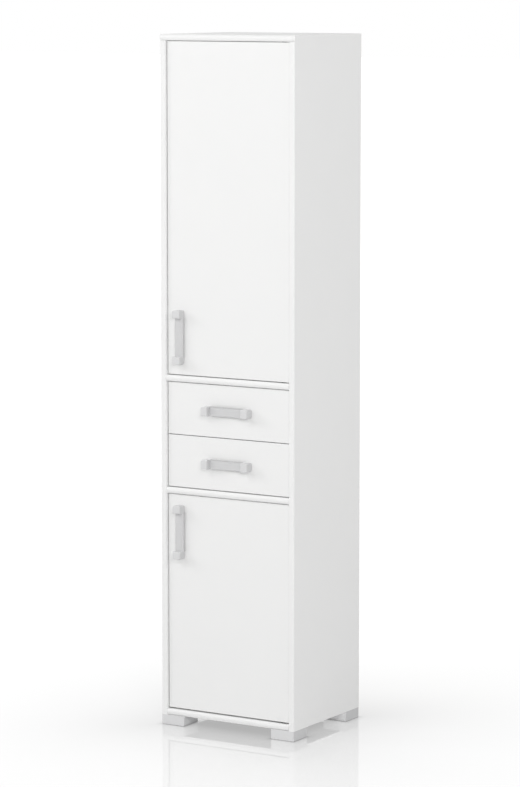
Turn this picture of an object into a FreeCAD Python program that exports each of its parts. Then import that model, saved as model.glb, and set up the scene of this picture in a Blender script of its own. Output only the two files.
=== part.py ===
# Tall narrow bathroom cabinet: two inset doors, two inset drawers, round-edged boards, block feet.
# Millimetres. +X is the cabinet's right, -Y its front, +Z up; the origin lies on the floor
# under the middle of the whole outline, handles included.
import FreeCAD
import Part
import os

V = FreeCAD.Vector
RIGHT = V(1, 0, 0)
FRONT = V(0, -1, 0)
BACK = V(0, 1, 0)
UP = V(0, 0, 1)
DOWN = V(0, 0, -1)

# Carcass boards
WIDTH = 400.0
DEPTH = 335.0
BOARD = 16.0
LEVEL_CROWN = 4.0
SIDE_EDGE = 3.0
LOWER_OPENING = 569.0
DRAWER_OPENING = 276.0
UPPER_OPENING = 856.0
BACK_THICK = 3.0
BACK_SETBACK = 8.0
GROOVE_DEPTH = 6.0

# Clearances shared by every fit
FIT = 0.05
SLIP = 0.1
RUNNING = 0.05
NEAR = 0.3

# Block feet
FOOT_SIZE = 68.0
FOOT_HEIGHT = 26.0
FOOT_EDGE = 1.5
FOOT_SCREW_PITCH = 32.0
FOOT_SCREW_MARGIN = 10.0
FOOT_SCREW_SINK = 12.0
FOOT_SCREW_BITE = 12.0
FOOT_SCREW_RADIUS = 2.0
FOOT_SCREW_HEAD = 4.0
FOOT_SCREW_HEAD_THICK = 2.5
FOOT_BORE_SPARE = 1.0

# Inset doors and drawer fronts
FRONT_BOARD = 16.0
FRONT_RECESS = 8.0
FRONT_GAP = 2.0
UPPER_DOOR_TOP_GAP = 1.3
LOWER_DOOR_FLOOR_GAP = 3.4
FRONT_EDGE = 0.8

# Bow handles: two round-cornered posts and a round-faced strap set back between them
HANDLE_LENGTH = 140.0
HANDLE_WIDTH = 24.0
HANDLE_POST = 20.0
HANDLE_PROJECTION = 24.0
HANDLE_RECESS = 12.0
HANDLE_STRAP = 7.0
HANDLE_STRAP_LIP = 1.0
HANDLE_CORNER = 5.0
HANDLE_EDGE = 2.5
HANDLE_END_MARGIN = 27.0
HANDLE_SIDE_MARGIN = 37.5
HANDLE_SCREW_RADIUS = 2.0
HANDLE_SCREW_BITE = 11.0
HANDLE_SCREW_HEAD = 4.0
HANDLE_SCREW_HEAD_THICK = 2.4

# Shelves on spade pins
SHELF_SETBACK = 30.0
SHELF_PLAY = 1.0
UPPER_SHELVES = 2
LOWER_SHELVES = 1
SHELF_PIN_RADIUS = 2.5
SHELF_PIN_BITE = 9.0
SHELF_PIN_INSET = 40.0
SHELF_TAB_REACH = 9.0
SHELF_TAB_WIDTH = 8.0
SHELF_TAB_THICK = 3.0

# Knock-down fittings: cam locks, cam bolts and dowels
CAM_RADIUS = 7.5
CAM_HEIGHT = 12.0
CAM_OFFSET = 34.0
CAM_SLOT_WIDTH = 2.0
CAM_SLOT_DEPTH = 1.5
BOLT_RADIUS = 3.0
BOLT_BITE = 11.0
BOLT_IN_CAM = 5.0
DOWEL_RADIUS = 4.0
DOWEL_BITE = 10.0
DOWEL_LENGTH = 30.0
JOINT_INSET = 50.0

# Small wood screws: pan head for rails, catches and bracket, countersunk for door plates
SCREW_RADIUS = 1.75
SCREW_LENGTH = 13.0
PAN_HEAD_RADIUS = 3.2
PAN_HEAD_THICK = 2.0
SUNK_HEAD_RADIUS = 3.2
SUNK_HEAD_THICK = 1.8

# Cross recess of every screw head
CROSS_MARGIN = 1.2
CROSS_WIDTH = 0.9
CROSS_DEPTH = 1.2

# Door pivots: plate and pin on the door's edge, flanged bush in the carcass board
PIVOT_INSET = 20.0
PIVOT_RADIUS = 3.0
PIVOT_BITE = 7.0
PLATE_LENGTH = 50.0
PLATE_TAIL = 10.0
PLATE_WIDTH = 11.0
PLATE_THICK = 2.5
PLATE_SCREW_STEP = 14.0
BUSH_RADIUS = 5.0
BUSH_FLANGE_RADIUS = 7.0
BUSH_LENGTH = 9.0

# Magnetic catches and their strikes
CATCH_OFFSET = 60.0
CATCH_BASE_LENGTH = 62.0
CATCH_BASE_THICK = 2.0
CATCH_BODY_LENGTH = 36.0
CATCH_BODY_DEEP = 16.0
CATCH_BODY_THICK = 14.0
CATCH_SCREW_PITCH = 48.0
STRIKE_LENGTH = 40.0
STRIKE_WIDTH = 14.0
STRIKE_THICK = 2.0
STRIKE_MARGIN = 1.0

# Wall bracket under the top board
BRACKET_WIDTH = 40.0
BRACKET_LEG = 30.0
BRACKET_STEEL = 2.0
BRACKET_SCREW_PITCH = 24.0
BRACKET_HOLE_DROP = 18.0
WALL_HOLE_RADIUS = 2.75
BACK_HOLE_RADIUS = 4.25

# Drawer boxes
DRAWER_BOARD = 12.0
DRAWER_HEIGHT = 100.0
DRAWER_REAR_SPACE = 30.0
DRAWER_BOTTOM = 3.0
DRAWER_GROOVE_LIFT = 10.0
DRAWER_GROOVE_DEPTH = 6.0
DRAWER_DOWEL_RADIUS = 3.0
DRAWER_DOWEL_BITE = 9.0
DRAWER_DOWEL_LENGTH = 25.0
DRAWER_DOWEL_MARGIN = 28.0

# Roller runners: channel rail on the carcass, flanged runner on the drawer
SIDE_SPACE = 12.5
RAIL_STEEL = 1.2
RAIL_HEIGHT = 34.0
RAIL_FLANGE = 10.0
RAIL_LIP = 9.5
RAIL_START = 3.0
RAIL_OVERRUN = 1.0
RAIL_LIFT = 6.0
RAIL_SCREWS = 3
RAIL_SCREW_MARGIN = 40.0
ROLLER_RADIUS = 9.0
ROLLER_WIDTH = 6.0
ROLLER_PIN_RADIUS = 3.0
ROLLER_SHOULDER_RADIUS = 4.5
ROLLER_PLAY = 0.2
ROLLER_END = 14.0
RUNNER_WEB = 13.0
RUNNER_FOOT = 10.0
RUNNER_TAB_LENGTH = 22.0

# Places worked out from the sizes above
HALF = WIDTH / 2
INNER = HALF - BOARD
HANDLE_REACH = HANDLE_PROJECTION - FRONT_RECESS
FRONT_Y = HANDLE_REACH - (DEPTH + HANDLE_REACH) / 2
BACK_Y = FRONT_Y + DEPTH
FACE_Y = FRONT_Y + FRONT_RECESS
INSIDE_Y = FACE_Y + FRONT_BOARD
REAR_Y = BACK_Y - BACK_SETBACK - BACK_THICK
BOX_Y1 = REAR_Y - DRAWER_REAR_SPACE
LOWER_Z0 = FOOT_HEIGHT + BOARD
LOWER_Z1 = LOWER_Z0 + LOWER_OPENING
DRAWER_Z0 = LOWER_Z1 + BOARD
DRAWER_Z1 = DRAWER_Z0 + DRAWER_OPENING
UPPER_Z0 = DRAWER_Z1 + BOARD
UPPER_Z1 = UPPER_Z0 + UPPER_OPENING
TOP_Z = UPPER_Z1 + BOARD
JOINT_YS = (FRONT_Y + JOINT_INSET, REAR_Y - JOINT_INSET)
JOINT_MID_Y = (FRONT_Y + REAR_Y) / 2

# Each node holds its solids and the tools that cut them
solids = {}
tools = {}


def add(node, *shapes):
    solids.setdefault(node, []).extend(shapes)


def cut(node, *shapes):
    tools.setdefault(node, []).extend(shapes)


def block(x0, x1, y0, y1, z0, z1):
    return Part.makeBox(x1 - x0, y1 - y0, z1 - z0, V(x0, y0, z0))


def between(first, second):
    # A block that has these two points as opposite corners.
    xs, ys, zs = [sorted(pair) for pair in zip(first, second)]
    return block(xs[0], xs[1], ys[0], ys[1], zs[0], zs[1])


def rod(start, way, radius, length):
    return Part.makeCylinder(radius, length, start, way)


def join(first, *others):
    return first.fuse(list(others)).removeSplitter().Solids[0]


def rounded(shape, radius, keep):
    # Rounds the edges whose middle point passes the keep test.
    edges = [edge for edge in shape.Edges if keep(edge.CenterOfMass)]
    return shape.makeFillet(radius, edges)


def level_board(half_width, rear_y, z0):
    # A level board whose front edge swells forward in an arc.
    rear_low = V(-half_width, rear_y, z0)
    front_low = V(-half_width, FRONT_Y + LEVEL_CROWN, z0)
    rear_high = rear_low + UP * BOARD
    front_high = front_low + UP * BOARD
    swell = front_low + UP * (BOARD / 2) + FRONT * LEVEL_CROWN
    outline = Part.Wire([
        Part.LineSegment(front_low, rear_low).toShape(),
        Part.LineSegment(rear_low, rear_high).toShape(),
        Part.LineSegment(rear_high, front_high).toShape(),
        Part.Arc(front_high, swell, front_low).toShape(),
    ])
    return Part.Face(outline).extrude(RIGHT * (2 * half_width))


def cross_recess(top, way, head_radius):
    # Two crossed slots sunk into the top of a screw's head.
    one = UP if way.z == 0 else RIGHT
    two = way.cross(one)
    slots = []
    for along, across in ((one, two), (two, one)):
        corner = along * (head_radius - CROSS_MARGIN) + across * (CROSS_WIDTH / 2)
        slots.append(between(top - corner, top + corner + way * CROSS_DEPTH))
    return slots


def pan_screw(seat, way, head_radius, head_thick, radius, length):
    whole = join(rod(seat, way * -1, head_radius, head_thick), rod(seat, way, radius, length))
    return whole.cut(cross_recess(seat - way * head_thick, way, head_radius))


def sunk_screw(seat, way):
    head = Part.makeCone(SUNK_HEAD_RADIUS, SCREW_RADIUS, SUNK_HEAD_THICK, seat, way)
    whole = join(head, rod(seat, way, SCREW_RADIUS, SCREW_LENGTH))
    return whole.cut(cross_recess(seat, way, SUNK_HEAD_RADIUS))


def small_screw(node, seat, way, through, into):
    # A pan-head screw on its seat, with its holes in the piece it clamps and the piece it bites.
    add(node, pan_screw(seat, way, PAN_HEAD_RADIUS, PAN_HEAD_THICK, SCREW_RADIUS, SCREW_LENGTH))
    for held in (through, into):
        cut(held, rod(seat, way, SCREW_RADIUS + FIT, SCREW_LENGTH + SLIP))


def plate_screw(node, seat, way, plate, into):
    # A countersunk screw that lies flush in a door plate.
    add(node, sunk_screw(seat, way))
    hole = rod(seat, way, SCREW_RADIUS + FIT, SCREW_LENGTH + SLIP)
    sink = Part.makeCone(SUNK_HEAD_RADIUS + FIT, SCREW_RADIUS + FIT, SUNK_HEAD_THICK, seat, way)
    cut(plate, hole, sink)
    cut(into, hole)


# Carcass: the top board lies on the sides, the bottom board and the dividers stand between them
add("top_panel", level_board(HALF, BACK_Y, UPPER_Z1))
add("bottom_panel", level_board(INNER, BACK_Y, FOOT_HEIGHT))
add("upper_divider", level_board(INNER, REAR_Y, DRAWER_Z1))
add("lower_divider", level_board(INNER, REAR_Y, LOWER_Z1))
SIDES = (("left", -1), ("right", 1))
for name, hand in SIDES:
    plain = between(V(hand * HALF, FRONT_Y, FOOT_HEIGHT), V(hand * INNER, BACK_Y, UPPER_Z1))
    add(name + "_side_panel", rounded(
        plain, SIDE_EDGE,
        lambda mid: mid.y < FRONT_Y + FIT and FOOT_HEIGHT + FIT < mid.z < UPPER_Z1 - FIT))

# Back panel, let into grooves in the sides, top and bottom
groove_reach = INNER + GROOVE_DEPTH
groove_z0 = LOWER_Z0 - GROOVE_DEPTH
groove_z1 = UPPER_Z1 + GROOVE_DEPTH
groove = block(-groove_reach, groove_reach, REAR_Y, REAR_Y + BACK_THICK + SLIP, groove_z0, groove_z1)
for node in ("left_side_panel", "right_side_panel", "top_panel", "bottom_panel"):
    cut(node, groove)
add("back_panel", block(-groove_reach + SLIP, groove_reach - SLIP, REAR_Y, REAR_Y + BACK_THICK,
                        groove_z0 + SLIP, groove_z1 - SLIP))


def cam_joint(face_node, edge_node, point, inward, cam_side):
    # A bolt screwed into one board's face and gripped by a cam in the board that butts on it.
    centre = point + inward * CAM_OFFSET
    pocket_mouth = centre + cam_side * (BOARD / 2)
    bolt_start = point - inward * BOLT_BITE
    bolt_length = BOLT_BITE + CAM_OFFSET - CAM_RADIUS + BOLT_IN_CAM
    bolt_hole = rod(bolt_start, inward, BOLT_RADIUS + FIT, bolt_length + SLIP)
    cam = rod(pocket_mouth, cam_side * -1, CAM_RADIUS, CAM_HEIGHT)
    across = inward.cross(cam_side)
    slot_mouth = pocket_mouth - cam_side * CAM_SLOT_DEPTH
    for run, wide in ((inward, across), (across, inward)):
        corner = run * CAM_RADIUS + wide * (CAM_SLOT_WIDTH / 2)
        cam = cam.cut(between(slot_mouth - corner, slot_mouth + corner + cam_side * CAM_SLOT_DEPTH))
    add("cam_locks", cam.cut(bolt_hole))
    add("cam_bolts", rod(bolt_start, inward, BOLT_RADIUS, bolt_length))
    cut(face_node, bolt_hole)
    cut(edge_node, bolt_hole, rod(pocket_mouth, cam_side * -1, CAM_RADIUS + FIT, CAM_HEIGHT + SLIP))


def dowel(node, face_node, edge_node, point, inward, radius, bite, length):
    start = point - inward * bite
    add(node, rod(start, inward, radius, length))
    hole = rod(start, inward, radius + FIT, length)
    cut(face_node, hole)
    cut(edge_node, hole)


# Knock-down joints: the sides' tops under the top board, the other level boards between the sides
CAM_FACES = (("upper_divider", DRAWER_Z1, DOWN), ("lower_divider", LOWER_Z1, UP),
             ("bottom_panel", FOOT_HEIGHT, DOWN))
for name, hand in SIDES:
    side = name + "_side_panel"
    toward_middle = RIGHT * -hand
    top_end = V(hand * (HALF - BOARD / 2), JOINT_MID_Y, UPPER_Z1)
    dowel("dowels", "top_panel", side, top_end, DOWN, DOWEL_RADIUS, DOWEL_BITE, DOWEL_LENGTH)
    for joint_y in JOINT_YS:
        cam_joint("top_panel", side, V(top_end.x, joint_y, UPPER_Z1), DOWN, toward_middle)
    for board, board_z, cam_side in CAM_FACES:
        board_end = V(hand * INNER, JOINT_MID_Y, board_z + BOARD / 2)
        dowel("dowels", side, board, board_end, toward_middle, DOWEL_RADIUS, DOWEL_BITE, DOWEL_LENGTH)
        for joint_y in JOINT_YS:
            cam_joint(side, board, V(board_end.x, joint_y, board_end.z), toward_middle, cam_side)

# Shelves, each resting on four spade pins pushed into the sides
shelf_y0 = INSIDE_Y + SHELF_SETBACK
shelf_y1 = REAR_Y - SHELF_PLAY


def shelf(node, z0):
    add(node, block(-INNER + SHELF_PLAY, INNER - SHELF_PLAY, shelf_y0, shelf_y1, z0, z0 + BOARD))
    tab_z0 = z0 - SHELF_TAB_THICK
    for name, hand in SIDES:
        for pin_y in (shelf_y0 + SHELF_PIN_INSET, shelf_y1 - SHELF_PIN_INSET):
            seat = V(hand * INNER, pin_y, z0 - SHELF_TAB_THICK / 2)
            shank = rod(seat, RIGHT * hand, SHELF_PIN_RADIUS, SHELF_PIN_BITE)
            tab = between(V(hand * INNER, pin_y - SHELF_TAB_WIDTH / 2, tab_z0),
                          V(hand * (INNER - SHELF_TAB_REACH), pin_y + SHELF_TAB_WIDTH / 2, z0))
            add("shelf_pins", join(tab, shank))
            cut(name + "_side_panel", rod(seat, RIGHT * hand, SHELF_PIN_RADIUS + FIT, SHELF_PIN_BITE + SLIP))


def shelf_heights(z0, opening, count):
    bay = (opening - count * BOARD) / (count + 1)
    return [z0 + bay + index * (bay + BOARD) for index in range(count)]


for index, shelf_z in enumerate(shelf_heights(UPPER_Z0, UPPER_OPENING, UPPER_SHELVES)):
    shelf("upper_shelf_%d" % (index + 1), shelf_z)
for index, shelf_z in enumerate(shelf_heights(LOWER_Z0, LOWER_OPENING, LOWER_SHELVES)):
    shelf("lower_shelf_%d" % (index + 1), shelf_z)

# Block feet flush with the carcass outline, each held by two screws from below
for end, foot_y in (("front", FRONT_Y + FOOT_SIZE / 2), ("back", BACK_Y - FOOT_SIZE / 2)):
    for name, hand in SIDES:
        foot_node = "foot_%s_%s" % (end, name)
        foot_x = hand * (HALF - FOOT_SIZE / 2)
        screws_x = hand * (INNER - FOOT_SCREW_MARGIN - FOOT_SCREW_PITCH / 2)
        foot = block(foot_x - FOOT_SIZE / 2, foot_x + FOOT_SIZE / 2, foot_y - FOOT_SIZE / 2,
                     foot_y + FOOT_SIZE / 2, 0, FOOT_HEIGHT)
        add(foot_node, rounded(foot, FOOT_EDGE, lambda mid: mid.z < FOOT_HEIGHT - FIT))
        for step in (-0.5, 0.5):
            mouth = V(screws_x + step * FOOT_SCREW_PITCH, foot_y, 0)
            seat = mouth + UP * FOOT_SCREW_SINK
            length = FOOT_HEIGHT - FOOT_SCREW_SINK + FOOT_SCREW_BITE
            add("foot_screws", pan_screw(seat, UP, FOOT_SCREW_HEAD, FOOT_SCREW_HEAD_THICK,
                                         FOOT_SCREW_RADIUS, length))
            shank_hole = rod(seat, UP, FOOT_SCREW_RADIUS + FIT, length + SLIP)
            cut(foot_node, shank_hole, rod(mouth, UP, FOOT_SCREW_HEAD + FOOT_BORE_SPARE, FOOT_SCREW_SINK))
            cut("bottom_panel", shank_hole)

# Steel angle that ties the cabinet to a wall: under the top board, against the back panel
bracket_top = block(-BRACKET_WIDTH / 2, BRACKET_WIDTH / 2, REAR_Y - BRACKET_LEG, REAR_Y,
                    UPPER_Z1 - BRACKET_STEEL, UPPER_Z1)
bracket_back = block(-BRACKET_WIDTH / 2, BRACKET_WIDTH / 2, REAR_Y - BRACKET_STEEL, REAR_Y,
                     UPPER_Z1 - BRACKET_LEG, UPPER_Z1)
add("wall_bracket", join(bracket_top, bracket_back))
wall_hole = V(0, REAR_Y - BRACKET_STEEL, UPPER_Z1 - BRACKET_HOLE_DROP)
cut("wall_bracket", rod(wall_hole, BACK, WALL_HOLE_RADIUS, BRACKET_STEEL))
cut("back_panel", rod(wall_hole + BACK * BRACKET_STEEL, BACK, BACK_HOLE_RADIUS, BACK_THICK))
for step in (-0.5, 0.5):
    seat = V(step * BRACKET_SCREW_PITCH, REAR_Y - BRACKET_LEG / 2, UPPER_Z1 - BRACKET_STEEL)
    small_screw("chipboard_screws", seat, UP, "wall_bracket", "top_panel")


def bow_post(foot, along, wide):
    # A post whose outer corners and front edges are rounded. along leads out to the handle's end.
    corner = along * (HANDLE_POST / 2) + wide * (HANDLE_WIDTH / 2)
    post = between(foot - corner, foot + corner + FRONT * HANDLE_PROJECTION)
    front_y = foot.y - HANDLE_PROJECTION
    post = rounded(post, HANDLE_CORNER,
                   lambda mid: front_y + FIT < mid.y < foot.y - FIT and (mid - foot).dot(along) > 0)
    return rounded(post, HANDLE_EDGE, lambda mid: mid.y < front_y + FIT)


def handle(name, panel, centre, along):
    # Two posts joined by a set-back strap, screwed on from behind the front.
    wide = UP if along == RIGHT else RIGHT
    pitch = HANDLE_LENGTH - HANDLE_POST
    strap_face = centre + FRONT * (HANDLE_PROJECTION - HANDLE_RECESS)
    strap_corner = along * (pitch / 2) + wide * (HANDLE_WIDTH / 2)
    strap = between(strap_face - strap_corner, strap_face + strap_corner + BACK * HANDLE_STRAP)
    strap = rounded(strap, HANDLE_STRAP - HANDLE_STRAP_LIP,
                    lambda mid: abs((mid - centre).dot(along)) < FIT and mid.y < strap_face.y + FIT)
    posts = []
    for end in (-1, 1):
        foot = centre + along * (end * pitch / 2)
        posts.append(bow_post(foot, along * end, wide))
        seat = foot + BACK * FRONT_BOARD
        length = FRONT_BOARD + HANDLE_SCREW_BITE
        add(name + "_handle_screws", pan_screw(seat, FRONT, HANDLE_SCREW_HEAD, HANDLE_SCREW_HEAD_THICK,
                                               HANDLE_SCREW_RADIUS, length))
        hole = rod(seat, FRONT, HANDLE_SCREW_RADIUS + FIT, length + SLIP)
        cut(name + "_handle", hole)
        cut(panel, hole)
    add(name + "_handle", join(strap, *posts))


def front_board(x0, x1, z0, z1):
    plain = block(x0, x1, FACE_Y, INSIDE_Y, z0, z1)
    return rounded(plain, FRONT_EDGE, lambda mid: mid.y < FACE_Y + FIT)


# Doors hung on the right, on a pin plate at each end that turns in a flanged bush
FRONT_REACH = INNER - FRONT_GAP
PIVOT = V(FRONT_REACH - PIVOT_INSET, FACE_Y + FRONT_BOARD / 2, 0)


def door_pivot(door, edge_z, gap, out, carcass_board):
    # edge_z is the door's edge, out points from it across the gap into the carcass board.
    flange_thick = gap - NEAR
    face = V(PIVOT.x, PIVOT.y, edge_z)
    plate_corner = face + RIGHT * PLATE_TAIL + BACK * (PLATE_WIDTH / 2)
    plate_far = face + RIGHT * (PLATE_TAIL - PLATE_LENGTH) + FRONT * (PLATE_WIDTH / 2) - out * PLATE_THICK
    play = V(FIT, FIT, 0)
    plate = between(plate_corner, plate_far)
    pocket = between(plate_corner + play, plate_far - play)
    pin = rod(face, out, PIVOT_RADIUS, gap + PIVOT_BITE)
    add(door + "_pivot_plates", join(plate, pin))
    cut(door + "_panel", pocket)
    for count in (1, 2):
        seat = face - RIGHT * (count * PLATE_SCREW_STEP)
        plate_screw(door + "_plate_screws", seat, out * -1, door + "_pivot_plates", door + "_panel")
    flange_face = face + out * NEAR
    board_face = face + out * gap
    bush = join(rod(flange_face, out, BUSH_FLANGE_RADIUS, flange_thick),
                rod(flange_face, out, BUSH_RADIUS, flange_thick + BUSH_LENGTH))
    add("pivot_bushes", bush.cut(rod(flange_face, out, PIVOT_RADIUS + RUNNING, flange_thick + BUSH_LENGTH)))
    cut(carcass_board, rod(board_face, out, BUSH_RADIUS + FIT, BUSH_LENGTH + SLIP))


def catch(door, catch_z):
    # Magnet housing on the left side, just behind the door, and its strike on the door's back.
    strike_x0 = -FRONT_REACH + STRIKE_MARGIN
    add(door + "_strike", block(strike_x0, strike_x0 + STRIKE_WIDTH, INSIDE_Y, INSIDE_Y + STRIKE_THICK,
                                catch_z - STRIKE_LENGTH / 2, catch_z + STRIKE_LENGTH / 2))
    seat = V(strike_x0 + STRIKE_WIDTH / 2, INSIDE_Y + STRIKE_THICK, catch_z)
    plate_screw(door + "_plate_screws", seat, FRONT, door + "_strike", door + "_panel")
    catch_y0 = INSIDE_Y + STRIKE_THICK + NEAR
    catch_y1 = catch_y0 + CATCH_BODY_DEEP
    base = block(-INNER, -INNER + CATCH_BASE_THICK, catch_y0, catch_y1,
                 catch_z - CATCH_BASE_LENGTH / 2, catch_z + CATCH_BASE_LENGTH / 2)
    body = block(-INNER, -INNER + CATCH_BODY_THICK, catch_y0, catch_y1,
                 catch_z - CATCH_BODY_LENGTH / 2, catch_z + CATCH_BODY_LENGTH / 2)
    add("magnetic_catches", join(base, body))
    for step in (-0.5, 0.5):
        seat = V(-INNER + CATCH_BASE_THICK, (catch_y0 + catch_y1) / 2, catch_z + step * CATCH_SCREW_PITCH)
        small_screw("chipboard_screws", seat, RIGHT * -1, "magnetic_catches", "left_side_panel")


def door(name, opening_z0, opening_z1, gap_below, gap_above, below, above, handle_z, catch_z):
    z0 = opening_z0 + gap_below
    z1 = opening_z1 - gap_above
    add(name + "_panel", front_board(-FRONT_REACH, FRONT_REACH, z0, z1))
    handle(name, name + "_panel", V(-FRONT_REACH + HANDLE_SIDE_MARGIN, FACE_Y, handle_z), UP)
    door_pivot(name, z0, gap_below, DOWN, below)
    door_pivot(name, z1, gap_above, UP, above)
    catch(name, catch_z)


handle_inset = FRONT_GAP + HANDLE_END_MARGIN + HANDLE_LENGTH / 2
door("upper_door", UPPER_Z0, UPPER_Z1, FRONT_GAP, UPPER_DOOR_TOP_GAP, "upper_divider", "top_panel",
     UPPER_Z0 + handle_inset, UPPER_Z0 + CATCH_OFFSET)
door("lower_door", LOWER_Z0, LOWER_Z1, LOWER_DOOR_FLOOR_GAP, FRONT_GAP, "bottom_panel", "lower_divider",
     LOWER_Z1 - handle_inset, LOWER_Z1 - CATCH_OFFSET)

# Heights of the runner's parts above the underside of its rail, and places across the side space
axle_lift = RAIL_STEEL + NEAR + ROLLER_RADIUS
tread_lift = axle_lift + ROLLER_RADIUS + NEAR
box_lift = tread_lift
web_across = SIDE_SPACE - RAIL_STEEL
roller_across = RAIL_STEEL + ROLLER_PLAY + RAIL_STEEL + ROLLER_PLAY
rail_y0 = INSIDE_Y + RAIL_START
rail_y1 = BOX_Y1 + RAIL_OVERRUN
front_axle_y = rail_y0 + ROLLER_END
rear_axle_y = BOX_Y1 - ROLLER_END


def side_block(hand, across0, across1, y0, y1, z0, z1):
    # A block measured across from the inner face of one carcass side.
    return between(V(hand * (INNER - across0), y0, z0), V(hand * (INNER - across1), y1, z1))


def side_rod(hand, across0, across1, y, z, radius):
    return rod(V(hand * (INNER - across0), y, z), RIGHT * -hand, radius, across1 - across0)


def roller(hand, y, z):
    # A plain roller with a running fit on its pin.
    tread = side_rod(hand, roller_across, roller_across + ROLLER_WIDTH, y, z, ROLLER_RADIUS)
    bore = side_rod(hand, roller_across, roller_across + ROLLER_WIDTH, y, z, ROLLER_PIN_RADIUS + RUNNING)
    return tread.cut(bore)


def cabinet_rail(hand, base_z):
    # Channel with a riveted front roller pin; the pin's shoulder and head keep the roller in place.
    axle_z = base_z + axle_lift
    head0 = roller_across + ROLLER_WIDTH + ROLLER_PLAY
    return join(
        side_block(hand, 0, RAIL_STEEL, rail_y0, rail_y1, base_z, base_z + RAIL_HEIGHT),
        side_block(hand, 0, RAIL_FLANGE, rail_y0, rail_y1, base_z, base_z + RAIL_STEEL),
        side_block(hand, 0, RAIL_LIP, rail_y0, rail_y1, base_z + RAIL_HEIGHT - RAIL_STEEL,
                   base_z + RAIL_HEIGHT),
        side_rod(hand, 0, roller_across - ROLLER_PLAY, front_axle_y, axle_z, ROLLER_SHOULDER_RADIUS),
        side_rod(hand, 0, head0 + RAIL_STEEL, front_axle_y, axle_z, ROLLER_PIN_RADIUS),
        side_rod(hand, head0, head0 + RAIL_STEEL, front_axle_y, axle_z, ROLLER_SHOULDER_RADIUS),
    )


def drawer_runner(hand, base_z):
    # Web on the box's side, tread that rides on the front roller, foot that the box stands on,
    # and a tab at the rear with the pin of the rear roller.
    axle_z = base_z + axle_lift
    tread_z = base_z + tread_lift
    tab_y0 = rear_axle_y - RUNNER_TAB_LENGTH / 2
    tab_y1 = rear_axle_y + RUNNER_TAB_LENGTH / 2
    pin_tip = roller_across - ROLLER_PLAY - RAIL_STEEL
    shoulder0 = roller_across + ROLLER_WIDTH + ROLLER_PLAY
    return join(
        side_block(hand, web_across, SIDE_SPACE, INSIDE_Y, BOX_Y1, tread_z - RAIL_STEEL,
                   tread_z + RUNNER_WEB),
        side_block(hand, roller_across - ROLLER_PLAY, SIDE_SPACE, INSIDE_Y, BOX_Y1, tread_z,
                   tread_z + RAIL_STEEL),
        side_block(hand, web_across, SIDE_SPACE + RUNNER_FOOT, INSIDE_Y, BOX_Y1, tread_z - RAIL_STEEL,
                   tread_z),
        side_block(hand, web_across, SIDE_SPACE, tab_y0, tab_y1, axle_z - ROLLER_SHOULDER_RADIUS, tread_z),
        side_rod(hand, pin_tip, SIDE_SPACE, rear_axle_y, axle_z, ROLLER_PIN_RADIUS),
        side_rod(hand, pin_tip, pin_tip + RAIL_STEEL, rear_axle_y, axle_z, ROLLER_SHOULDER_RADIUS),
        side_rod(hand, shoulder0, SIDE_SPACE, rear_axle_y, axle_z, ROLLER_SHOULDER_RADIUS),
    )


def drawer(name, front_z0, front_z1):
    base_z = front_z0 + RAIL_LIFT
    box_z0 = base_z + box_lift
    box_z1 = box_z0 + DRAWER_HEIGHT
    box_out = INNER - SIDE_SPACE
    box_in = box_out - DRAWER_BOARD
    bottom_z0 = box_z0 + DRAWER_GROOVE_LIFT
    bottom_z1 = bottom_z0 + DRAWER_BOTTOM

    add(name + "_front", front_board(-FRONT_REACH, FRONT_REACH, front_z0, front_z1))
    handle(name, name + "_front", V(0, FACE_Y, (front_z0 + front_z1) / 2), RIGHT)
    add(name + "_back", block(-box_in, box_in, BOX_Y1 - DRAWER_BOARD, BOX_Y1, bottom_z1, box_z1))

    bottom_reach = box_in + DRAWER_GROOVE_DEPTH
    bottom_y0 = INSIDE_Y - DRAWER_GROOVE_DEPTH
    groove = block(-bottom_reach, bottom_reach, bottom_y0, BOX_Y1, bottom_z0, bottom_z1 + SLIP)
    add(name + "_bottom", block(-bottom_reach + SLIP, bottom_reach - SLIP, bottom_y0 + SLIP, BOX_Y1,
                                bottom_z0, bottom_z1))
    cut(name + "_front", groove)

    dowel_zs = (box_z0 + DRAWER_DOWEL_MARGIN, box_z1 - DRAWER_DOWEL_MARGIN)
    screw_z = base_z + (tread_lift + RAIL_HEIGHT) / 2
    screw_span = rail_y1 - rail_y0 - 2 * RAIL_SCREW_MARGIN
    for hand_name, hand in SIDES:
        side = "%s_%s_side" % (name, hand_name)
        add(side, between(V(hand * box_in, INSIDE_Y, box_z0), V(hand * box_out, BOX_Y1, box_z1)))
        cut(side, groove)
        side_mid = hand * (box_in + DRAWER_BOARD / 2)
        for dowel_z in dowel_zs:
            front_end = V(side_mid, INSIDE_Y, dowel_z)
            back_end = V(hand * box_in, BOX_Y1 - DRAWER_BOARD / 2, dowel_z)
            dowel(name + "_dowels", name + "_front", side, front_end, BACK,
                  DRAWER_DOWEL_RADIUS, DRAWER_DOWEL_BITE, DRAWER_DOWEL_LENGTH)
            dowel(name + "_dowels", side, name + "_back", back_end, RIGHT * -hand,
                  DRAWER_DOWEL_RADIUS, DRAWER_DOWEL_BITE, DRAWER_DOWEL_LENGTH)

        add("cabinet_rails", cabinet_rail(hand, base_z))
        add(name + "_runners", drawer_runner(hand, base_z))
        add(name + "_front_rollers", roller(hand, front_axle_y, base_z + axle_lift))
        add(name + "_rear_rollers", roller(hand, rear_axle_y, base_z + axle_lift))
        for index in range(RAIL_SCREWS):
            screw_y = rail_y0 + RAIL_SCREW_MARGIN + screw_span * index / (RAIL_SCREWS - 1)
            small_screw("chipboard_screws", V(hand * (INNER - RAIL_STEEL), screw_y, screw_z), RIGHT * hand,
                        "cabinet_rails", hand_name + "_side_panel")
            small_screw(name + "_runner_screws", V(hand * (INNER - web_across), screw_y, screw_z),
                        RIGHT * -hand, name + "_runners", side)


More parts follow.
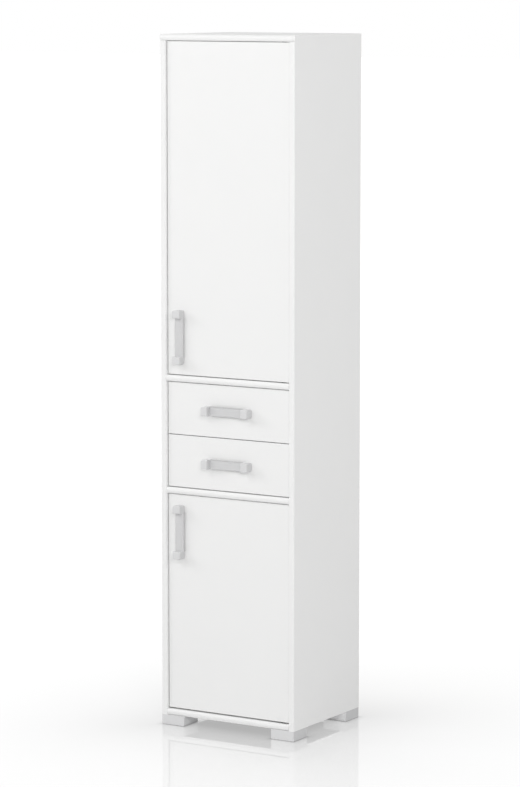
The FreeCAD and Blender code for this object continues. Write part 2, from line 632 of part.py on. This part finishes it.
front_height = (DRAWER_OPENING - 3 * FRONT_GAP) / 2
for index, name in enumerate(("lower_drawer", "upper_drawer")):
    front_z0 = DRAWER_Z0 + FRONT_GAP + index * (front_height + FRONT_GAP)
    drawer(name, front_z0, front_z0 + front_height)

# One file per node
os.makedirs("parts", exist_ok=True)
for node, pieces in solids.items():
    if node in tools:
        pieces = [piece.cut(tools[node]) for piece in pieces]
    shape = pieces[0].Solids[0] if len(pieces) == 1 else Part.makeCompound([p.Solids[0] for p in pieces])
    shape.exportStep("parts/%s.step" % node)
    print(node, len(pieces), "solids", round(shape.Volume / 1000, 2), "cm3")
print(len(solids), "nodes")
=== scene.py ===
import bpy
import math
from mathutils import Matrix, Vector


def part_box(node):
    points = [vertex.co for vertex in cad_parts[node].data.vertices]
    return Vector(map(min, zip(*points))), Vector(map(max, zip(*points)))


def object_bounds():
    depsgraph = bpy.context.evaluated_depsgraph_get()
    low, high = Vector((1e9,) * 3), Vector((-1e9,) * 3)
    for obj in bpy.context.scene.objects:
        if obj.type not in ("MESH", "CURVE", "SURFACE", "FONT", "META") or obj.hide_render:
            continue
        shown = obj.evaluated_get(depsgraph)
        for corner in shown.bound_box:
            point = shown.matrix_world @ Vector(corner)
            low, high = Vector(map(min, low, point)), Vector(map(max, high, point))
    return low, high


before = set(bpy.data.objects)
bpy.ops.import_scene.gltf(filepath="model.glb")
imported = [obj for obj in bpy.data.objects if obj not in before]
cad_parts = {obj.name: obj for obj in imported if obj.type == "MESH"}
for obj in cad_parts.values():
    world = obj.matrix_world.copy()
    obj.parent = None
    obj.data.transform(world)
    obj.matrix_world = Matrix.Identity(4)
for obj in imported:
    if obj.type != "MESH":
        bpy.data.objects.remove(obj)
cad_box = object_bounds()
scene = bpy.context.scene
scene.view_settings.view_transform = "Standard"


# Camera
# A long lens more than eight metres off, a little above the cabinet's top and round to its right, so that
# the fronts show wide, the right side shows narrow and upright edges stay almost parallel.
CAMERA_PLACE = (4.345, -7.134, 1.940)
CAMERA_TURN = math.radians(31.33)
CAMERA_DIP = math.radians(7.333)
CAMERA_LENS = 148.8
SENSOR_HEIGHT = 36.0
camera_data = bpy.data.cameras.new("photo_camera")
camera_data.sensor_fit = "VERTICAL"
camera_data.sensor_height = SENSOR_HEIGHT
camera_data.lens = CAMERA_LENS
camera = bpy.data.objects.new("photo_camera", camera_data)
camera.location = CAMERA_PLACE
camera.rotation_euler = (math.pi / 2 - CAMERA_DIP, 0.0, CAMERA_TURN)
scene.collection.objects.link(camera)
scene.camera = camera


# Studio room
# White all round: an even white surround that the camera and the gloss see as plain white, and a wide
# white floor with a polish that mirrors the feet. A painted shadow dims the floor's glow near the cabinet
# and where the feet touch it, and the floor between the feet glows as painted light up under the cabinet.
class Wire:
    # One output of a shader tree. Arithmetic on wires adds Math nodes to the tree.

    def __init__(self, tree, socket):
        self.tree = tree
        self.socket = socket

    def node(self, kind, settings, values, output=0):
        # Adds any other node: its settings first, then the values or links of its sockets.
        made = self.tree.nodes.new("ShaderNode" + kind)
        for name, setting in settings.items():
            setattr(made, name, setting)
        for key, value in values.items():
            if isinstance(value, Wire):
                self.tree.links.new(value.socket, made.inputs[key])
            else:
                made.inputs[key].default_value = value
        return Wire(self.tree, made.outputs[output])

    def feed(self, shader, name):
        self.tree.links.new(self.socket, shader.inputs[name])

    def math(self, operation, first, second=0.0):
        return self.node("Math", {"operation": operation}, {0: first, 1: second})

    def __add__(self, other):
        return self.math("ADD", self, other)

    def __radd__(self, other):
        return self.math("ADD", other, self)

    def __sub__(self, other):
        return self.math("SUBTRACT", self, other)

    def __rsub__(self, other):
        return self.math("SUBTRACT", other, self)

    def __mul__(self, other):
        return self.math("MULTIPLY", self, other)

    def __rmul__(self, other):
        return self.math("MULTIPLY", other, self)

    def __gt__(self, other):
        return self.math("GREATER_THAN", self, other)

    def __lt__(self, other):
        return self.math("LESS_THAN", self, other)


ORIGIN = (0.0, 0.0, 0.0)


def vector_math(operation, first, second=ORIGIN, output=0):
    return first.node("VectorMath", {"operation": operation}, {0: first, 1: second}, output)


def folded(place, middle):
    # How far along each axis a place is from the middle, the same on both sides of it.
    return vector_math("ABSOLUTE", vector_math("SUBTRACT", place, middle))


def clear_of(place, middle, half):
    # How far a place is from a block that reaches half its size to each side of its middle.
    outside = vector_math("MAXIMUM", vector_math("SUBTRACT", folded(place, middle), half), ORIGIN)
    return vector_math("LENGTH", outside, output="Value")


def fading(distance, reach):
    return distance.math("EXPONENT", distance * (-1.0 / reach))


def middle_and_half(low, high):
    middle = [(start + end) / 2 for start, end in zip(low, high)]
    half = [(end - start) / 2 for start, end in zip(low, high)]
    return middle, half


def seen_plainly(tree):
    # One for the rays that see the room, straight, in a gloss or through glass, and nought for its light.
    ray = tree.nodes.new("ShaderNodeLightPath")
    straight = Wire(tree, ray.outputs["Is Camera Ray"])
    mirrored = Wire(tree, ray.outputs["Is Glossy Ray"])
    through = Wire(tree, ray.outputs["Is Transmission Ray"])
    return straight.math("MAXIMUM", straight.math("MAXIMUM", straight, mirrored), through)


ROOM_WHITE = (1.0, 1.0, 1.0, 1.0)
ROOM_LIGHT = 0.472
room = bpy.data.worlds.new("white_room")
room.use_nodes = True
scene.world = room
surround = room.node_tree.nodes["Background"]
surround.inputs["Color"].default_value = ROOM_WHITE
(seen_plainly(room.node_tree) * (1.0 - ROOM_LIGHT) + ROOM_LIGHT).feed(surround, "Strength")

FLOOR_HALF = 60.0
FLOOR_DROP = 0.0005
FLOOR_WHITE = (0.95, 0.95, 0.95, 1.0)
FLOOR_SEEN = (0.25, 0.25, 0.25, 1.0)
FLOOR_ROUGHNESS = 0.04
FLOOR_GLOW = 0.580
SHADE_LOSS = 0.18
SHADE_REACH = 0.26
CONTACT_SHADOW_LOSS = 0.20
CONTACT_REACH = 0.006
UNDER_GLOW = 0.75
UNDER_EDGE = 0.0005
bpy.ops.mesh.primitive_plane_add(size=2 * FLOOR_HALF, location=(0.0, 0.0, -FLOOR_DROP))
floor = bpy.context.object
floor.name = "studio_floor"
floor_paint = bpy.data.materials.new("white_floor")
floor_paint.use_nodes = True
floor_tree = floor_paint.node_tree
place = Wire(floor_tree, floor_tree.nodes.new("ShaderNodeTexCoord").outputs["Object"])
feet_middle, feet_half = middle_and_half(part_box("foot_front_left")[0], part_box("foot_back_right")[1])
foot_middle, foot_half = middle_and_half(*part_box("foot_back_right"))
foot_offset = [foot - feet for foot, feet in zip(foot_middle, feet_middle)]
from_foot = clear_of(folded(place, feet_middle), foot_offset, foot_half)
# Painted light: the floor between the feet, clear of their rims, glows and lights the underside and the
# feet.
under = (clear_of(place, feet_middle, feet_half) < UNDER_EDGE) * (from_foot > CONTACT_REACH)
floor_lit = floor_tree.nodes["Principled BSDF"]
floor_lit.inputs["Base Color"].default_value = FLOOR_WHITE
floor_lit.inputs["Roughness"].default_value = FLOOR_ROUGHNESS
floor_lit.inputs["Emission Strength"].default_value = 1.0
(UNDER_GLOW * under).feed(floor_lit, "Emission Color")
# Painted shadow: the floor's glow is dimmed near the cabinet and in a thin rim round each foot.
shade = fading(clear_of(place, ORIGIN, cad_box[1]), SHADE_REACH)
contact_shadow = fading(from_foot, CONTACT_REACH)
floor_seen = place.node("BsdfPrincipled", {}, {
    "Base Color": FLOOR_SEEN, "Roughness": FLOOR_ROUGHNESS, "Emission Strength": 1.0,
    "Emission Color": FLOOR_GLOW - SHADE_LOSS * shade - CONTACT_SHADOW_LOSS * contact_shadow})
floor_both = place.node("MixShader", {}, {
    0: seen_plainly(floor_tree), 1: Wire(floor_tree, floor_lit.outputs[0]), 2: floor_seen})
floor_both.feed(floor_tree.nodes["Material Output"], "Surface")
floor.data.materials.append(floor_paint)


# Studio lamps
# Four broad soft lamps: one high in front for the boards' rounded edges, one each side of the front,
# and a weaker one that lifts the right side. All look at the middle of the cabinet.
CABINET_MIDDLE = (0.0, -0.16, 1.1)
LAMP_SIZE = 2.0


def soft_lamp(name, place, power):
    lamp_data = bpy.data.lights.new(name, "AREA")
    lamp_data.size = LAMP_SIZE
    lamp_data.energy = power
    lamp = bpy.data.objects.new(name, lamp_data)
    lamp.location = place
    reach = [there - here for here, there in zip(place, CABINET_MIDDLE)]
    flat = math.hypot(reach[0], reach[1])
    lamp.rotation_euler = (math.atan2(flat, -reach[2]), 0.0, math.atan2(-reach[0], reach[1]))
    scene.collection.objects.link(lamp)
    return lamp


soft_lamp("high_lamp", place=(-1.5, -3.8, 4.2), power=44.0)
soft_lamp("left_lamp", place=(-4.5, -2.5, 3.0), power=60.0)
soft_lamp("right_lamp", place=(3.5, -4.5, 3.0), power=82.0)
side_lamp = soft_lamp("side_lamp", place=(5.0, -0.5, 2.8), power=36.0)
side_lamp.visible_glossy = False


# Carcass boards
# Particle board wrapped in satin white foil, which runs round the sides' eased front edges and the arched
# fronts of the level boards. Rear edges stay raw, and the bottom board has backing paper below, coloured
# near black as painted shade under the cabinet.
def new_finish(name):
    # A material, its shader and the place on the piece.
    material = bpy.data.materials.new(name)
    material.use_nodes = True
    tree = material.node_tree
    place = Wire(tree, tree.nodes.new("ShaderNodeTexCoord").outputs["Object"])
    return material, tree.nodes["Principled BSDF"], place


def along(vector, axis):
    return vector.node("SeparateXYZ", {}, {0: vector}, axis)


def grain(place, pitch, detail=2.0, stretch=(1.0, 1.0, 1.0)):
    # Soft noise with blots about one pitch across, drawn out along each axis by its stretch.
    drawn = vector_math("DIVIDE", place, stretch)
    return place.node("TexNoise", {}, {"Vector": drawn, "Scale": 1.0 / pitch, "Detail": detail})


def blend(mask, first, second):
    # The first colour where the mask is nought and the second where it is one.
    return mask.node("Mix", {"data_type": "RGBA"}, {0: mask, 6: first, 7: second}, 2)


def emboss(shader, height, depth):
    # A fine relief this many metres deep.
    relief = height.node("Bump", {}, {"Height": height, "Distance": depth})
    relief.feed(shader, "Normal")


def dress(material, *names):
    for name in names:
        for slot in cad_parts[name].material_slots:
            slot.material = material


CHIP_PALE = (0.60, 0.46, 0.30, 1.0)
CHIP_DARK = (0.34, 0.23, 0.13, 1.0)
CHIP_PITCH = 0.0035
CHIP_STRETCH = (2.0, 1.0, 2.0)
CHIP_SHARE = 0.65
CHIP_ROUGHNESS = 0.85
CHIP_DEPTH = 0.00025
FIBRE_PITCH = CHIP_PITCH / 4
FIBRE_SHARE = 0.35


def raw_chips(place):
    # Pressed wood chips, longer along the board than through it: their colour and their relief.
    flakes = vector_math("DIVIDE", place, CHIP_STRETCH)
    chip = place.node("TexVoronoi", {}, {"Vector": flakes, "Scale": 1.0 / CHIP_PITCH}, "Color")
    tone = CHIP_SHARE * along(chip, 0) + FIBRE_SHARE * grain(place, FIBRE_PITCH, detail=4.0)
    return blend(tone, CHIP_DARK, CHIP_PALE), tone


FOIL_WHITE = (0.902, 0.902, 0.897, 1.0)
FOIL_SHADE = (0.888, 0.889, 0.885, 1.0)
FOIL_ROUGHNESS = 0.38
CLOUD_PITCH = 0.11
CLOUD_ROUGHER = 0.04
PEEL_PITCH = 0.0014
PEEL_ROUGHER = 0.05
PEEL_RELIEF = 0.10
PORE_PITCH = 0.0004
PORE_RELIEF = 0.03
# Painted shade: the backing paper is near black so that the cabinet's underside reads as shadow.
PAPER_SHADOW_GREY = (0.105, 0.105, 0.103, 1.0)
PAPER_SHADOW_DARK = (0.085, 0.085, 0.083, 1.0)
PAPER_ROUGHER = 0.35
RAW_EDGE = 0.0002
FAR_OFF = 10.0


def foil_board(name, white, shade, roughness, raw_from, papered_to=-FAR_OFF):
    # White foil with a faint orange peel. Behind raw_from the board is cut and left bare, and below
    # papered_to it has backing paper instead of foil, coloured near black as painted shade.
    material, shader, place = new_finish(name)
    bare = along(place, 1) > raw_from
    papered = along(place, 2) < papered_to
    chip_colour, chip_relief = raw_chips(place)
    cloud = grain(place, CLOUD_PITCH, detail=3.0)
    peel = grain(place, PEEL_PITCH)
    pores = grain(place, PORE_PITCH, detail=3.0)
    shaded_paper = blend(0.5 * cloud + 0.5 * pores, PAPER_SHADOW_GREY, PAPER_SHADOW_DARK)
    face = blend(papered, blend(cloud, white, shade), shaded_paper)
    blend(bare, face, chip_colour).feed(shader, "Base Color")
    face_roughness = roughness + PEEL_ROUGHER * peel + CLOUD_ROUGHER * cloud + PAPER_ROUGHER * papered
    (face_roughness * (1.0 - bare) + CHIP_ROUGHNESS * bare).feed(shader, "Roughness")
    face_relief = PEEL_RELIEF * peel + PORE_RELIEF * pores
    emboss(shader, face_relief * (1.0 - bare) + chip_relief * bare, CHIP_DEPTH)
    return material


raw_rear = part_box("top_panel")[1][1] - RAW_EDGE
paper_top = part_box("bottom_panel")[0][2] + RAW_EDGE
carcass_foil = foil_board("carcass_foil", FOIL_WHITE, FOIL_SHADE, FOIL_ROUGHNESS, raw_rear)
bottom_foil = foil_board("bottom_foil", FOIL_WHITE, FOIL_SHADE, FOIL_ROUGHNESS, raw_rear, paper_top)
dress(carcass_foil, "left_side_panel", "right_side_panel", "top_panel", "upper_divider", "lower_divider")
dress(bottom_foil, "bottom_panel")


# Block feet
# Solid grey blocks, moulded in a spark-eroded tool that leaves a fine silvery grain. Painted shade
# darkens faces turned right and painted light lightens faces turned left, as on the handles. Two screws
# go up through each foot into the bottom board.
FOOT_GREY = (0.76, 0.76, 0.765, 1.0)
FOOT_FLECK = (0.70, 0.70, 0.705, 1.0)
FOOT_FLANK_SHADE = 0.11
FOOT_SPECULAR = 0.1
FOOT_ROUGHNESS = 0.40
SPARK_PITCH = 0.0006
SPARK_SHARE = 0.7
SPARK_ROUGHER = 0.16
SPARK_DEPTH = 0.00004
FLOW_PITCH = 0.02
FLOW_SHARE = 0.3


def facing(place, axis):
    # How far the surface faces along an axis, from minus one to one.
    return along(place.node("TexCoord", {}, {}, "Normal"), axis)


def scaled(colour, level):
    return colour.node("VectorMath", {"operation": "SCALE"}, {0: colour, "Scale": level})


moulded, moulded_shader, place = new_finish("silver_grey_plastic")
moulded_shader.inputs["Specular IOR Level"].default_value = FOOT_SPECULAR
spark = grain(place, SPARK_PITCH, detail=3.0)
flow = grain(place, FLOW_PITCH)
foot_tone = blend(SPARK_SHARE * spark + FLOW_SHARE * flow, FOOT_GREY, FOOT_FLECK)
# Painted shade: the tone darkens on faces turned right and lightens on faces turned left.
scaled(foot_tone, 1.0 - FOOT_FLANK_SHADE * facing(place, 0)).feed(moulded_shader, "Base Color")
(FOOT_ROUGHNESS + SPARK_ROUGHER * spark).feed(moulded_shader, "Roughness")
emboss(moulded_shader, spark, SPARK_DEPTH)
dress(moulded, "foot_front_left", "foot_front_right", "foot_back_left", "foot_back_right")


# Screws, pins and bolts
# Mild steel, turned or pressed and zinc plated in a barrel, which leaves bright and dull blotches
# with a cold cast. They hold the feet, bracket, rails, catches and handles.
ZINC_BRIGHT = (0.72, 0.73, 0.75, 1.0)
ZINC_DULL = (0.56, 0.58, 0.61, 1.0)
BLOTCH_PITCH = 0.004
TUMBLE_PITCH = 0.0005
TUMBLE_DEPTH = 0.00001


def even_finish(shader, mask, first, second, roughness, rougher):
    # Colour and roughness that follow one mask.
    blend(mask, first, second).feed(shader, "Base Color")
    (roughness + rougher * mask).feed(shader, "Roughness")


zinc, zinc_shader, place = new_finish("zinc_plated_steel")
zinc_shader.inputs["Metallic"].default_value = 1.0
blotch = grain(place, BLOTCH_PITCH, detail=4.0)
even_finish(zinc_shader, blotch, ZINC_BRIGHT, ZINC_DULL, roughness=0.24, rougher=0.20)
emboss(zinc_shader, grain(place, TUMBLE_PITCH), TUMBLE_DEPTH)
dress(zinc, "foot_screws", "chipboard_screws", "cam_bolts", "shelf_pins", "wall_bracket")


# Cam locks
# Bare zinc castings in pockets of the boards, with a crossed slot for the screwdriver. A cam's turn
# draws in the bolt that is screwed into the other board.
CAST_GREY = (0.60, 0.60, 0.61, 1.0)
CAST_SHADE = (0.48, 0.48, 0.50, 1.0)
CAST_METALLIC = 0.9
CAST_PITCH = 0.0012
CAST_DEPTH = 0.00005
cast, cast_shader, place = new_finish("bare_zinc_casting")
cast_shader.inputs["Metallic"].default_value = CAST_METALLIC
cast_skin = grain(place, CAST_PITCH, detail=4.0)
even_finish(cast_shader, cast_skin, CAST_SHADE, CAST_GREY, roughness=0.46, rougher=0.18)
emboss(cast_shader, cast_skin, CAST_DEPTH)
dress(cast, "cam_locks")


# Dowels
# Beech rod, glued into one board and pushed into the other to keep the joint in line.
# The pale wood has short darker flecks along its grain.
BEECH_PALE = (0.76, 0.58, 0.40, 1.0)
BEECH_DARK = (0.58, 0.40, 0.25, 1.0)
FLECK_PITCH = 0.0012
FLECK_STRETCH = (6.0, 1.0, 1.0)
FLECK_DEPTH = 0.00008
beech, beech_shader, place = new_finish("beech")
fleck = grain(place, FLECK_PITCH, detail=3.0, stretch=FLECK_STRETCH)
even_finish(beech_shader, fleck, BEECH_PALE, BEECH_DARK, roughness=0.55, rougher=0.15)
emboss(beech_shader, fleck, FLECK_DEPTH)
dress(beech, "dowels", "upper_drawer_dowels", "lower_drawer_dowels")


# Back panel and drawer bottoms
# Thin hardboard, lacquered white on the face that shows inside. The other face is raw brown fibre with
# the fine weave of the wire screen that it was pressed on. It slides into grooves.
LACQUER_WHITE = (0.875, 0.875, 0.865, 1.0)
LACQUER_SHADE = (0.850, 0.850, 0.840, 1.0)
LACQUER_ROUGHNESS = 0.46
LACQUER_ROUGHER = 0.06
LACQUER_RELIEF = 0.15
HARDBOARD_PALE = (0.40, 0.27, 0.165, 1.0)
HARDBOARD_DARK = (0.26, 0.165, 0.095, 1.0)
HARDBOARD_ROUGHNESS = 0.88
SCREEN_PITCH = 0.0016
FELT_PITCH = 0.0022
STAIN_PITCH = 0.06
DUST_PITCH = 0.0009
HARDBOARD_DEPTH = 0.00012


def hardboard(name, axis, way):
    # The raw face looks along the axis in this way, and the screen's weave lies across that axis.
    material, shader, place = new_finish(name)
    raw = facing(place, axis) * way > 0.5
    turns = 2.0 * math.pi / SCREEN_PITCH
    weave = [place.math("SINE", along(place, other) * turns) for other in range(3) if other != axis]
    screen = weave[0] * weave[1] * 0.5 + 0.5
    felt = grain(place, FELT_PITCH, detail=5.0)
    stain = grain(place, STAIN_PITCH, detail=3.0)
    dust = grain(place, DUST_PITCH)
    fibre = blend(0.55 * felt + 0.30 * stain + 0.15 * screen, HARDBOARD_DARK, HARDBOARD_PALE)
    blend(raw, blend(stain, LACQUER_WHITE, LACQUER_SHADE), fibre).feed(shader, "Base Color")
    lacquer_roughness = LACQUER_ROUGHNESS + LACQUER_ROUGHER * dust
    (lacquer_roughness * (1.0 - raw) + HARDBOARD_ROUGHNESS * raw).feed(shader, "Roughness")
    raw_relief = 0.6 * screen + 0.4 * felt
    emboss(shader, LACQUER_RELIEF * dust * (1.0 - raw) + raw_relief * raw, HARDBOARD_DEPTH)
    return material


dress(hardboard("back_hardboard", axis=1, way=1.0), "back_panel")
dress(hardboard("drawer_hardboard", axis=2, way=-1.0), "upper_drawer_bottom", "lower_drawer_bottom")


# Shelves
# The same board with foil on all its edges. Each shelf lies loose on four steel spade pins, so that it
# can be set higher or lower.
banded_foil = foil_board("banded_foil", FOIL_WHITE, FOIL_SHADE, FOIL_ROUGHNESS, raw_from=FAR_OFF)
dress(banded_foil, "upper_shelf_1", "upper_shelf_2", "lower_shelf_1")


# Doors
# Inset boards in the same foil with slightly eased edges. Each turns on pins of two zinc plated plates,
# in black nylon bushes let into the boards above and below, and is held shut by a magnet on the left. The
# bushes' near-black colour is also painted shade in the gaps above and below the doors.
NYLON_WHITE = (0.87, 0.87, 0.845, 1.0)
NYLON_SHADE = (0.83, 0.83, 0.80, 1.0)
# Painted shade: the bushes are near black so that the gaps above and below the doors read dark.
NYLON_GAP_SHADE_BLACK = (0.075, 0.075, 0.078, 1.0)
NYLON_DUSTY_GAP_SHADE = (0.105, 0.105, 0.108, 1.0)
SWIRL_PITCH = 0.008
NYLON_PITCH = 0.0005
NYLON_DEPTH = 0.00002


def nylon(name, first, second):
    # Moulded nylon with the flow of the melt in its colour and a fine matt skin.
    material, shader, place = new_finish(name)
    swirl = grain(place, SWIRL_PITCH, detail=3.0)
    even_finish(shader, swirl, first, second, roughness=0.36, rougher=0.10)
    emboss(shader, grain(place, NYLON_PITCH), NYLON_DEPTH)
    return material


white_nylon = nylon("white_nylon", NYLON_WHITE, NYLON_SHADE)
black_nylon_gap_shade = nylon("black_nylon_gap_shade", NYLON_GAP_SHADE_BLACK, NYLON_DUSTY_GAP_SHADE)
dress(black_nylon_gap_shade, "pivot_bushes")
dress(white_nylon, "magnetic_catches")
for door in ("upper_door", "lower_door"):
    dress(banded_foil, door + "_panel")
    dress(zinc, door + "_pivot_plates", door + "_plate_screws", door + "_strike")


# Drawers
# A front of the carcass board carries a thinner box in a duller white foil: two sides and a back,
# dowelled, with the bottom in grooves. The sides' rear ends are cut and left raw.
BOX_WHITE = (0.885, 0.885, 0.875, 1.0)
BOX_SHADE = (0.865, 0.866, 0.858, 1.0)
BOX_ROUGHNESS = 0.52
box_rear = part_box("upper_drawer_left_side")[1][1] - RAW_EDGE
box_foil = foil_board("drawer_foil", BOX_WHITE, BOX_SHADE, BOX_ROUGHNESS, box_rear)
for drawer in ("upper_drawer", "lower_drawer"):
    dress(banded_foil, drawer + "_front")
    dress(box_foil, drawer + "_left_side", drawer + "_right_side", drawer + "_back")


# Runners
# Rolled steel channels in white epoxy, screwed to the carcass sides and to the drawer boxes. A nylon
# roller on each one runs in the other.
COAT_WHITE = (0.865, 0.865, 0.855, 1.0)
COAT_SHADE = (0.84, 0.84, 0.83, 1.0)
COAT_ROUGHNESS = 0.26
COAT_ROUGHER = 0.10
POOL_PITCH = 0.015
COAT_PITCH = 0.0011
COAT_DEPTH = 0.00003
coated, coated_shader, place = new_finish("white_coated_steel")
coat_skin = grain(place, COAT_PITCH)
blend(grain(place, POOL_PITCH), COAT_WHITE, COAT_SHADE).feed(coated_shader, "Base Color")
(COAT_ROUGHNESS + COAT_ROUGHER * coat_skin).feed(coated_shader, "Roughness")
emboss(coated_shader, coat_skin, COAT_DEPTH)
dress(coated, "cabinet_rails")
for drawer in ("upper_drawer", "lower_drawer"):
    dress(coated, drawer + "_runners")
    dress(white_nylon, drawer + "_front_rollers", drawer + "_rear_rollers")
    dress(zinc, drawer + "_runner_screws")


# Handles
# Bow handles cast in one piece and finished satin silver. The strap between the two posts is a little
# darker
# than the posts. Painted shade and light: the strap is darker on faces turned up and lighter on faces
# turned down, and the posts are darker on faces turned right and lighter on faces turned left. Two screws
# hold each handle from inside its front.
SILVER = (0.74, 0.74, 0.745, 1.0)
SILVER_FLECK = (0.70, 0.70, 0.705, 1.0)
STRAP_SILVER = (0.68, 0.68, 0.685, 1.0)
STRAP_FLECK = (0.64, 0.64, 0.645, 1.0)
SILVER_METALLIC = 0.05
SILVER_SPECULAR = 0.15
POST_LENGTH = 0.020
POST_FLANK_SHADE = 0.15
STRAP_TOP_SHADE = 0.22
SILVER_ROUGHNESS = 0.36
SATIN_PITCH = 0.0005
SATIN_SHARE = 0.6
SATIN_ROUGHER = 0.14
SATIN_DEPTH = 0.00002
SHEEN_PITCH = 0.012
SHEEN_SHARE = 0.4


def silver_handle(node):
    # Satin silver whose strap is found from the handle's own box.
    low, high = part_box(node)
    axis = 2 if high[2] - low[2] > high[0] - low[0] else 0
    material, shader, place = new_finish("silver_" + node)
    run = along(place, axis)
    strap = (run > low[axis] + POST_LENGTH) * (run < high[axis] - POST_LENGTH)
    satin = grain(place, SATIN_PITCH, detail=3.0)
    speck = SATIN_SHARE * satin + SHEEN_SHARE * grain(place, SHEEN_PITCH)
    # Painted shade and light: posts darker on faces turned right, strap darker on faces turned up and
    # lighter on faces turned down.
    post_tone = scaled(blend(speck, SILVER, SILVER_FLECK), 1.0 - POST_FLANK_SHADE * facing(place, 0))
    strap_tone = scaled(blend(speck, STRAP_SILVER, STRAP_FLECK), 1.0 - STRAP_TOP_SHADE * facing(place, 2))
    blend(strap, post_tone, strap_tone).feed(shader, "Base Color")
    shader.inputs["Metallic"].default_value = SILVER_METALLIC
    shader.inputs["Specular IOR Level"].default_value = SILVER_SPECULAR
    (SILVER_ROUGHNESS + SATIN_ROUGHER * satin).feed(shader, "Roughness")
    emboss(shader, satin, SATIN_DEPTH)
    dress(material, node)


for front in ("upper_door", "lower_door", "upper_drawer", "lower_drawer"):
    silver_handle(front + "_handle")
    dress(zinc, front + "_handle_screws")
